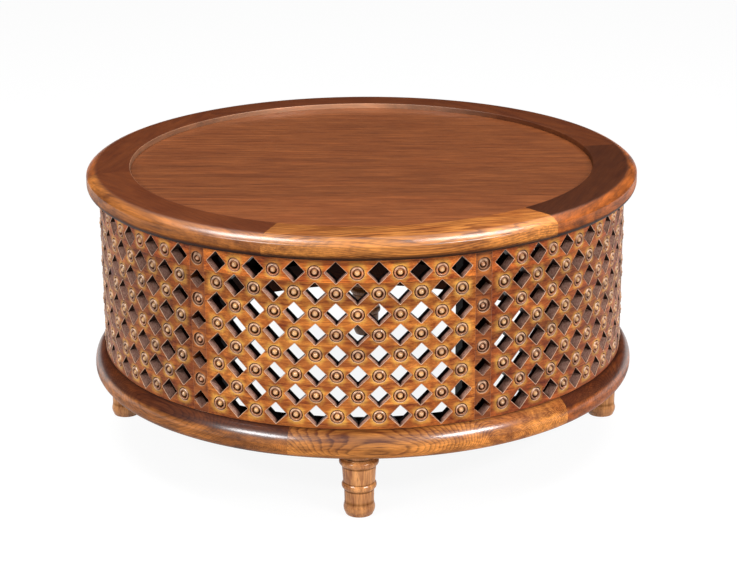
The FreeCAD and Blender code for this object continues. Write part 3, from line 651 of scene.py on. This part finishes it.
class Graph:
    """A short way to write a material's nodes."""

    def __init__(self, material):
        material.use_nodes = True
        self.tree = material.node_tree
        self.tree.nodes.clear()

    def add(self, kind, inputs=None, out=0, **settings):
        node = self.tree.nodes.new("ShaderNode" + kind)
        for key, value in settings.items():
            setattr(node, key, value)
        for key, value in (inputs or {}).items():
            if isinstance(value, bpy.types.NodeSocket):
                self.tree.links.new(value, node.inputs[key])
            else:
                node.inputs[key].default_value = value
        return node.outputs[out] if len(node.outputs) else node

    def math(self, operation, a, b=0.0, clamp=False):
        return self.add("Math", {0: a, 1: b}, operation=operation, use_clamp=clamp)

    def vector(self, operation, a, b):
        return self.add("VectorMath", {0: a, 1: b}, operation=operation)

    def ramp(self, factor, stops, interpolation="EASE"):
        node = self.tree.nodes.new("ShaderNodeValToRGB")
        self.tree.links.new(factor, node.inputs[0])
        bar = node.color_ramp
        bar.interpolation = interpolation
        while len(bar.elements) < len(stops):
            bar.elements.new(1.0)
        for element, (spot, colour) in zip(bar.elements, stops):
            element.position = spot
            element.color = (*colour, 1.0)
        return node.outputs[0]

    def mix(self, factor, a, b, blend="MIX"):
        node = self.tree.nodes.new("ShaderNodeMix")
        node.data_type = "RGBA"
        node.blend_type = blend
        for socket, value in ((node.inputs[0], factor), (node.inputs[6], a), (node.inputs[7], b)):
            if isinstance(value, bpy.types.NodeSocket):
                self.tree.links.new(value, socket)
            elif socket == node.inputs[0]:
                socket.default_value = value
            else:
                socket.default_value = (*value, 1.0)
        return node.outputs[2]


def grey(value):
    return (value, value, value)


def board_space(graph, spot, turn, shift, upright, courses):
    """A board's own space, with its grain along X, and its height counted in courses. Each course of a glued
    stack is a board of its own."""
    spin = (0.0, math.radians(90), 0.0) if upright else (0.0, 0.0, -math.radians(turn))
    board = graph.add("Mapping", {0: spot, "Rotation": spin})
    number = None
    if courses:
        low, tall = courses[:2]
        height = graph.add("SeparateXYZ", {0: spot}, out=2)
        number = graph.math("DIVIDE", graph.math("SUBTRACT", height, low), tall)
        seed = graph.math("ADD", graph.math("FLOOR", number), shift[0])
        scatter = graph.add("TexWhiteNoise", {"W": seed}, out=1, noise_dimensions="1D")
        board = graph.vector("ADD", board, graph.vector("MULTIPLY", scatter, (0.9, 0.05, 0.05)))
    return graph.vector("ADD", board, shift), number


def year_rings(graph, board, pith, gap, wave):
    """How late in its year each point grew: rings round a pith, bent and rippled along the board."""
    slow = graph.vector("MULTIPLY", board, (0.16, 1.0, 1.0))
    bend = graph.add("TexNoise", {"Vector": slow, "Scale": 9.0, "Detail": 2.0}, out=1)
    bend = graph.vector("MULTIPLY", graph.vector("SUBTRACT", bend, (0.5, 0.5, 0.5)), (0.0, 0.045, 0.045))
    ripple = graph.add("TexNoise", {"Vector": slow, "Scale": 70.0, "Detail": 2.0}, out=1)
    ripple = graph.vector("MULTIPLY", ripple, (0.0, wave, wave))
    flow = graph.vector("ADD", graph.vector("ADD", board, bend), ripple)
    flow = graph.vector("ADD", flow, (0.0, *pith))
    flow = graph.vector("MULTIPLY", flow, (0.0, 1.0, 1.0))
    reach = graph.add("VectorMath", {0: flow}, out=1, operation="LENGTH")
    rings = graph.math("FRACT", graph.math("DIVIDE", reach, gap))
    return graph.ramp(rings, [(0.0, grey(0.0)), (0.45, grey(0.2)), (0.85, grey(1.0)), (1.0, grey(0.0))])


def stacked(graph, colour, number, courses):
    """The colour of a glued stack: each course has a tone of its own, and thin dark joints part them."""
    count, gains = courses[2:]
    stops = [(max(0.0, (k - 0.001) / count), gain) for k, gain in enumerate(gains)]
    gain = graph.ramp(graph.math("DIVIDE", number, float(count)), stops, "CONSTANT")
    colour = graph.mix(1.0, colour, gain, "MULTIPLY")
    edge = graph.math("PINGPONG", number, 0.5)
    joint = graph.ramp(edge, [(0.0, grey(0.3)), (0.007, grey(1.0))], "LINEAR")
    return graph.mix(1.0, colour, joint, "MULTIPLY")


def wood(name, tones, turn=0.0, shift=(0.0, 0.0, 0.0), upright=False, pith=(0.09, 0.0), gap=0.007,
         wave=0.005, figure=0.5, streak=0.3, blotch=0.3, patch=0.0, glow=GLOW_RIM, fade_to=0.3, raw=1.0,
         coat=1.0, polish=0.0, gloss=0.09, lacquer=1.35, lighter=0.0, courses=None, marked=False,
         shade_under=False):
    """Lacquered hardwood sawn from one board: its grain runs along a chord, rings lie round a pith behind the
    face, and fibres, pores and blotches break up the colour. Marked pieces are light on rubbed edges and with
    painted glints and painted light, and dark with painted shade in grooves, creases, holes and inside, where
    some dull dark polish lies too. figure, streak, blotch and patch say how much the rings, the fibres, the
    bands and the clouds show. coat is the lacquer on flats and polish what rounded forms add to it, gloss is
    its roughness and lacquer its index. lighter brightens a piece towards the right."""
    light, dark = tones
    material = bpy.data.materials.new(name)
    graph = Graph(material)
    spot = graph.add("TexCoord", out=3)
    board, number = board_space(graph, spot, turn, shift, upright, courses)
    late = year_rings(graph, board, pith, gap, wave)
    fine = graph.vector("MULTIPLY", board, (0.045, 1.0, 1.0))
    patchy = graph.vector("MULTIPLY", board, (0.13, 1.0, 1.0))
    broad = graph.vector("MULTIPLY", board, (0.5, 1.0, 1.0))
    bands = graph.add("TexNoise", {"Vector": patchy, "Scale": 85.0, "Detail": 3.0, "Roughness": 0.6})
    clouds = graph.add("TexNoise", {"Vector": broad, "Scale": 22.0, "Detail": 3.0, "Roughness": 0.55})
    fibres = graph.add("TexNoise", {"Vector": fine, "Scale": 420.0, "Detail": 4.0, "Roughness": 0.7})
    pores = graph.add("TexNoise", {"Vector": fine, "Scale": 1500.0, "Detail": 1.0})
    fibre = graph.ramp(fibres, [(0.36, grey(0.0)), (0.68, grey(1.0))], "LINEAR")
    band = graph.ramp(bands, [(0.34, grey(0.0)), (0.66, grey(1.0))], "LINEAR")
    cloud = graph.ramp(clouds, [(0.42, grey(0.0)), (0.64, grey(1.0))])
    pore = graph.ramp(pores, [(0.3, grey(1.0)), (0.42, grey(0.0))], "LINEAR")
    amount = graph.math("MULTIPLY", late, figure)
    amount = graph.math("ADD", amount, graph.math("MULTIPLY", fibre, streak))
    amount = graph.math("ADD", amount, graph.math("MULTIPLY", band, blotch))
    middle = tuple(0.5 * a + 0.5 * b for a, b in zip(light, dark))
    colour = graph.ramp(amount, [(0.05, light), (0.4, middle), (0.85, dark)], "LINEAR")
    if patch:
        deeper = graph.mix(1.0, colour, (0.62, 0.42, 0.34), "MULTIPLY")
        colour = graph.mix(graph.math("MULTIPLY", cloud, patch), colour, deeper)
    if courses:
        colour = stacked(graph, colour, number, courses)
    colour = graph.mix(graph.math("MULTIPLY", pore, 0.4), colour, tuple(0.3 * c for c in dark))
    sealed = coat
    if marked:
        mark = {kind: graph.add("Attribute", out=2, attribute_name=kind) for kind in MARKS}
        thin = graph.math("SUBTRACT", 0.9, graph.math("MULTIPLY", graph.math("ADD", band, cloud), 0.33))
        # Light halos, which are painted light where they lie on the rim's and ring's noses
        near = graph.ramp(mark["halo"], [(0.2, grey(0.0)), (1.0, grey(1.0))])
        halo = graph.math("MULTIPLY", near, thin)
        glowing = graph.ramp(amount, [(0.2, glow), (0.95, tuple(fade_to * c for c in glow))], "LINEAR")
        colour = graph.mix(halo, colour, glowing)
        # The bare walls of holes, lightened with painted light
        bare = graph.mix(fibre, *shade(BARE_LIT, raw))
        colour = graph.mix(mark["bare"], colour, bare)
        uneven = graph.math("SUBTRACT", 1.0, graph.math("MULTIPLY", bands, 0.5))
        # Rubbed wear, painted glints and painted light
        colour = graph.mix(graph.math("MULTIPLY", mark["worn"], uneven, True), colour, WEAR_AND_LIGHT_TONE)
        if lighter:
            right = graph.math("MULTIPLY", graph.add("SeparateXYZ", {0: spot}, out=0), 5.0, True)
            gain = graph.math("ADD", graph.math("MULTIPLY", right, lighter), 1.0)
            colour = graph.add("VectorMath", {0: colour, "Scale": gain}, operation="SCALE")
        # Painted shade where the dark mark lies, with some dark polish in grooves; it also takes off the coat
        colour = graph.mix(mark["dark"], colour, SHADE_AND_POLISH)
        sealed = graph.math("ADD", coat, graph.math("MULTIPLY", mark["shine"], polish), True)
        sealed = graph.math("SUBTRACT", sealed, mark["dark"], True)
    # Painted shade: faces that look down are dark and lose their coat
    if shade_under:
        facing = graph.add("SeparateXYZ", {0: graph.add("NewGeometry", out=1)}, out=2)
        under = graph.math("LESS_THAN", facing, -0.5)
        colour = graph.mix(under, colour, SHADE_AND_POLISH)
        sealed = graph.math("SUBTRACT", coat, under, True)
    rough = graph.math("ADD", graph.math("MULTIPLY", fibres, 0.2), 0.36)
    relief = graph.math("SUBTRACT", fibres, graph.math("MULTIPLY", pore, 0.8))
    bump = graph.add("Bump", {"Strength": 0.5, "Distance": 0.00012, "Height": relief})
    shader = graph.add("BsdfPrincipled", {
        "Base Color": colour, "Roughness": rough, "Specular IOR Level": 0.1, "Coat Weight": sealed,
        "Coat Roughness": gloss, "Coat IOR": lacquer, "Normal": bump})
    graph.add("OutputMaterial", {0: shader})
    return material


def steel(name):
    """Zinc-plated steel of screws and bolts: fine turning marks and a slightly cloudy plating."""
    material = bpy.data.materials.new(name)
    graph = Graph(material)
    spot = graph.add("TexCoord", out=3)
    cloud = graph.add("TexNoise", {"Vector": spot, "Scale": 160.0, "Detail": 4.0})
    colour = graph.ramp(cloud, [(0.3, (0.42, 0.41, 0.38)), (0.7, (0.66, 0.66, 0.63))], "LINEAR")
    rough = graph.math("ADD", graph.math("MULTIPLY", cloud, 0.3), 0.2)
    bump = graph.add("Bump", {"Strength": 0.3, "Distance": 0.0001, "Height": cloud})
    shader = graph.add("BsdfPrincipled", {
        "Base Color": colour, "Metallic": 1.0, "Roughness": rough, "Normal": bump})
    graph.add("OutputMaterial", {0: shader})
    return material


def shade(tones, gain):
    return tuple(tuple(min(0.9, c * gain) for c in tone) for tone in tones)


def build_wall():
    """The panels and the stiles. The front panel is the most golden; each panel's top course has painted
    light.
    """
    chance = random.Random(41)
    panel_tones = [AMBER, BROWN, BROWN, BROWN, BROWN, shade(BROWN, 0.85)]
    for n in range(1, SEGMENTS + 1):
        middle = WALL_TURN + SEGMENT_ANGLE * (n - 1)
        front = n == 1
        gains = []
        for _ in range(COURSES):
            gain = chance.uniform(0.8, 1.1)
            gains.append((gain, gain * chance.uniform(0.9, 1.05), gain * chance.uniform(0.85, 1.1)))
        # Painted light: the top course is lighter, where the rim's shadow falls
        gains[-1] = (1.35, 1.15, 1.0)
        courses = (WALL_BOTTOM, (WALL_TOP - WALL_BOTTOM) / COURSES, COURSES, gains)
        material = wood(f"panel_wood_{n}", panel_tones[n - 1], turn=middle, shift=(n * 1.37, 0.0, 0.0),
                        pith=(0.30, 0.03), gap=0.009, figure=0.15, streak=0.38, blotch=0.55, patch=0.7,
                        glow=GLOW_WALL if front else shade((GLOW_WALL,), 0.8)[0], fade_to=0.6,
                        raw=1.0 if front else 0.6, coat=0.1, polish=0.5, lacquer=1.8, courses=courses,
                        marked=True)
        carved_panel(n, material)
        stile = wood(f"stile_wood_{n}", REDDISH, turn=middle + SEGMENT_ANGLE / 2, shift=(n * 2.11, 0.3, 0.1),
                     pith=(0.35, 0.0), gap=0.008, figure=0.15, streak=0.35, blotch=0.45, patch=0.6,
                     glow=GLOW_STILE, fade_to=0.6, raw=0.6, coat=0.1, polish=0.4, lacquer=1.8, marked=True)
        carved_stile(n, stile)


def build_rings():
    """The segments of the rim and the base ring: the golden ones lie at the front."""
    rim, ring = rim_section(), ring_section()
    # Painted shade and sheen: the rim's right segment is darker and its left ones lighter; each nose has its
    # own painted light
    rim_tones = [GOLDEN, shade(DEEP, 0.6), DEEP, DEEP, shade(DEEP, 1.1), shade(DEEP, 1.2)]
    ring_tones = [GOLDEN, RING_RED, RING_RED, RING_RED, RING_RED, shade(RING_RED, 0.8)]
    for n in range(1, SEGMENTS + 1):
        middle = RIM_TURN + SEGMENT_ANGLE * (n - 1)
        golden = n == 1
        glow = (GLOW_GOLD, GLOW_RIGHT, GLOW_RIM, GLOW_RIM, GLOW_RIM, GLOW_FRONT)[n - 1]
        material = wood(f"rim_wood_{n}", rim_tones[n - 1], turn=middle, shift=(n * 1.9, 0.0, 0.0),
                        pith=(0.42, -0.37), gap=0.0032, figure=0.4 if golden else 0.2, streak=0.45,
                        blotch=0.35, patch=0.5 if golden else 0.3, glow=glow, coat=0.1, polish=0.48,
                        gloss=0.28, lacquer=2.2, lighter=0.35 if golden else 0.0, marked=True)
        swept(f"rim_{n}", rim, middle, "rim", material, f"top_rim_segment_{n}")
        middle = RING_TURN + SEGMENT_ANGLE * (n - 1)
        grain = 1.4 if golden else middle
        material = wood(f"ring_wood_{n}", ring_tones[n - 1], turn=grain, shift=(n * 2.3, 0.0, 0.0),
                        pith=(0.395, -0.118), gap=0.0017, wave=0.0025, figure=0.38 if golden else 0.3,
                        streak=0.45, blotch=0.4, patch=0.6, glow=glow, coat=0.1, polish=0.55, gloss=0.23,
                        lacquer=2.0, lighter=0.45 if golden else 0.0, marked=True)
        swept(f"base_ring_{n}", ring, middle, "ring", material, f"base_ring_segment_{n}")


def build_top():
    """The planks, lightest at the front and a little lighter at the back than in the middle, a painted sheen.
    """
    chance = random.Random(12)
    planks = sorted(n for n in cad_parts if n.startswith("top_plank_"))
    for k, name in enumerate(planks):
        back = (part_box(name)[0][1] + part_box(name)[1][1]) / 2 / RIM_INNER
        # Painted sheen: planks at the front and back are lighter
        gain = 1.04 + 0.35 * max(0.0, -back - 0.35) + 0.2 * max(0.0, back - 0.3)
        tones = shade(TOP, gain * chance.uniform(0.92, 1.06))
        material = wood(name + "_wood", tones, turn=-2.0, shift=(k * 1.7, 0.0, 0.0),
                        pith=(chance.uniform(-0.03, 0.03), -0.30), gap=0.012, figure=0.15, streak=0.45,
                        blotch=0.3, patch=0.2, gloss=0.2, shade_under=True)
        dress(name, material)


def build_feet():
    for n in range(1, FEET + 1):
        material = wood(f"foot_wood_{n}", FOOT, upright=True, shift=(n * 0.7, n * 0.31, 0.0),
                        pith=(0.05, 0.02), gap=0.003, figure=0.1, streak=0.28, blotch=0.6, coat=0.3,
                        gloss=0.16, lacquer=1.9, marked=True)
        foot(n, material)


def dress(node, material):
    """Gives a CAD node its finish."""
    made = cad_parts[node]
    made.data.materials.clear()
    made.data.materials.append(material)
    for slot in made.material_slots:
        slot.material = material


def build_hidden():
    """The finish of the CAD's own battens, dowels, screws and bolts."""
    inner = wood("inner_wood", INSIDE, turn=90.0, pith=(0.1, -0.2), figure=0.4, coat=0.0)
    pegs = wood("dowel_wood", shade(GOLDEN, 0.9), pith=(0.02, 0.0), gap=0.003, figure=0.4, coat=0.0)
    fixings = steel("fixing_steel")
    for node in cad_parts:
        if "batten_left" in node or "batten_right" in node:
            dress(node, inner)
        elif "dowels" in node:
            dress(node, pegs)
        elif "screws" in node or "bolts" in node:
            dress(node, fixings)


def build_floor():
    """A pale floor that stays nearly white for the eye and for reflections, with the table's soft shadow."""
    size = 40.0
    mesh = bpy.data.meshes.new("floor")
    corners = [(-size, -size, 0), (size, -size, 0), (size, size, 0), (-size, size, 0)]
    mesh.from_pydata(corners, [], [(0, 1, 2, 3)])
    floor = bpy.data.objects.new("floor", mesh)
    bpy.context.scene.collection.objects.link(floor)
    material = bpy.data.materials.new("pale_floor")
    graph = Graph(material)
    path = graph.tree.nodes.new("ShaderNodeLightPath")
    seen = graph.math("ADD", path.outputs["Is Camera Ray"], path.outputs["Is Glossy Ray"])
    seen = graph.math("ADD", seen, path.outputs["Is Transmission Ray"], True)
    plain = graph.add("BsdfDiffuse", {0: (0.50, 0.49, 0.48, 1.0)})
    faint = graph.add("BsdfDiffuse", {0: (0.10, 0.10, 0.10, 1.0)})
    glow = graph.add("Emission", {0: (1.0, 1.0, 1.0, 1.0), 1: 0.92})
    bright = graph.add("AddShader", {0: faint, 1: glow})
    shader = graph.add("MixShader", {0: seen, 1: plain, 2: bright})
    graph.add("OutputMaterial", {0: shader})
    mesh.materials.append(material)


def softbox(name, place_at, aim, size, power):
    lamp = bpy.data.lights.new(name, "AREA")
    lamp.shape = "RECTANGLE"
    lamp.size, lamp.size_y = size
    lamp.energy = power
    made = bpy.data.objects.new(name, lamp)
    made.location = place_at
    made.rotation_euler = (Vector(aim) - Vector(place_at)).to_track_quat("-Z", "Y").to_euler()
    bpy.context.scene.collection.objects.link(made)


def build_light():
    """Two lamps for the front's highlights, two for the top, one for the back, and a soft sky round them."""
    softbox("front_left", (-2.0, -2.07, 1.85), (0.0, 0.0, 0.3), (1.2, 0.45), 44)
    softbox("front_right", (2.0, -2.07, 1.85), (0.0, 0.0, 0.3), (1.2, 0.45), 57)
    softbox("top_left", (-1.20, 0.05, 3.0), (-0.1, 0.0, 0.4), (0.8, 1.1), 45)
    softbox("top_right", (1.20, 0.05, 3.0), (0.1, 0.0, 0.4), (0.8, 1.1), 40)
    softbox("back", (0.0, 2.1, 3.0), (0.0, 0.0, 0.35), (3.2, 1.6), 14)
    world = bpy.data.worlds.new("studio")
    bpy.context.scene.world = world
    graph = Graph(world)
    way = graph.tree.nodes.new("ShaderNodeSeparateXYZ")
    graph.tree.links.new(graph.add("TexCoord", out=0), way.inputs[0])
    high = graph.ramp(way.outputs[2], [(0.0, grey(0.3)), (0.3, grey(0.8)), (0.6, grey(1.0))], "LINEAR")
    front = graph.math("MULTIPLY", way.outputs[1], -1.0)
    near = graph.ramp(front, [(0.0, grey(0.04)), (0.7, grey(0.6))], "LINEAR")
    sky = graph.mix(1.0, high, near, "MULTIPLY")
    above = graph.ramp(way.outputs[2], [(0.5, grey(0.0)), (0.95, grey(0.2))], "LINEAR")
    sky = graph.mix(1.0, sky, above, "ADD")
    back = graph.add("Background", {0: sky, 1: 1.0})
    graph.add("OutputWorld", {0: back})


def build_camera():
    """The camera, at the photograph's place and angle."""
    pitch, yaw, roll = (math.radians(angle) for angle in (CAMERA_PITCH, CAMERA_YAW, CAMERA_ROLL))
    look = Vector((math.sin(yaw) * math.cos(pitch), math.cos(yaw) * math.cos(pitch), -math.sin(pitch)))
    right = look.cross(Vector((0, 0, 1))).normalized()
    up = right.cross(look)
    turned_right = right * math.cos(roll) + up * math.sin(roll)
    turned_up = -right * math.sin(roll) + up * math.cos(roll)
    lens = bpy.data.cameras.new("photo_camera")
    lens.sensor_fit = "HORIZONTAL"
    lens.sensor_width = SENSOR
    lens.lens = FOCAL_PIXELS / PHOTO_WIDTH * SENSOR
    camera = bpy.data.objects.new("photo_camera", lens)
    turn = Matrix((turned_right, turned_up, -look)).transposed()
    camera.matrix_world = Matrix.Translation(CAMERA_PLACE) @ turn.to_4x4()
    bpy.context.scene.collection.objects.link(camera)
    bpy.context.scene.camera = camera


build_wall()
build_rings()
build_top()
build_feet()
build_hidden()
build_floor()
build_light()
build_camera()
bpy.context.scene.view_settings.view_transform = "Standard"
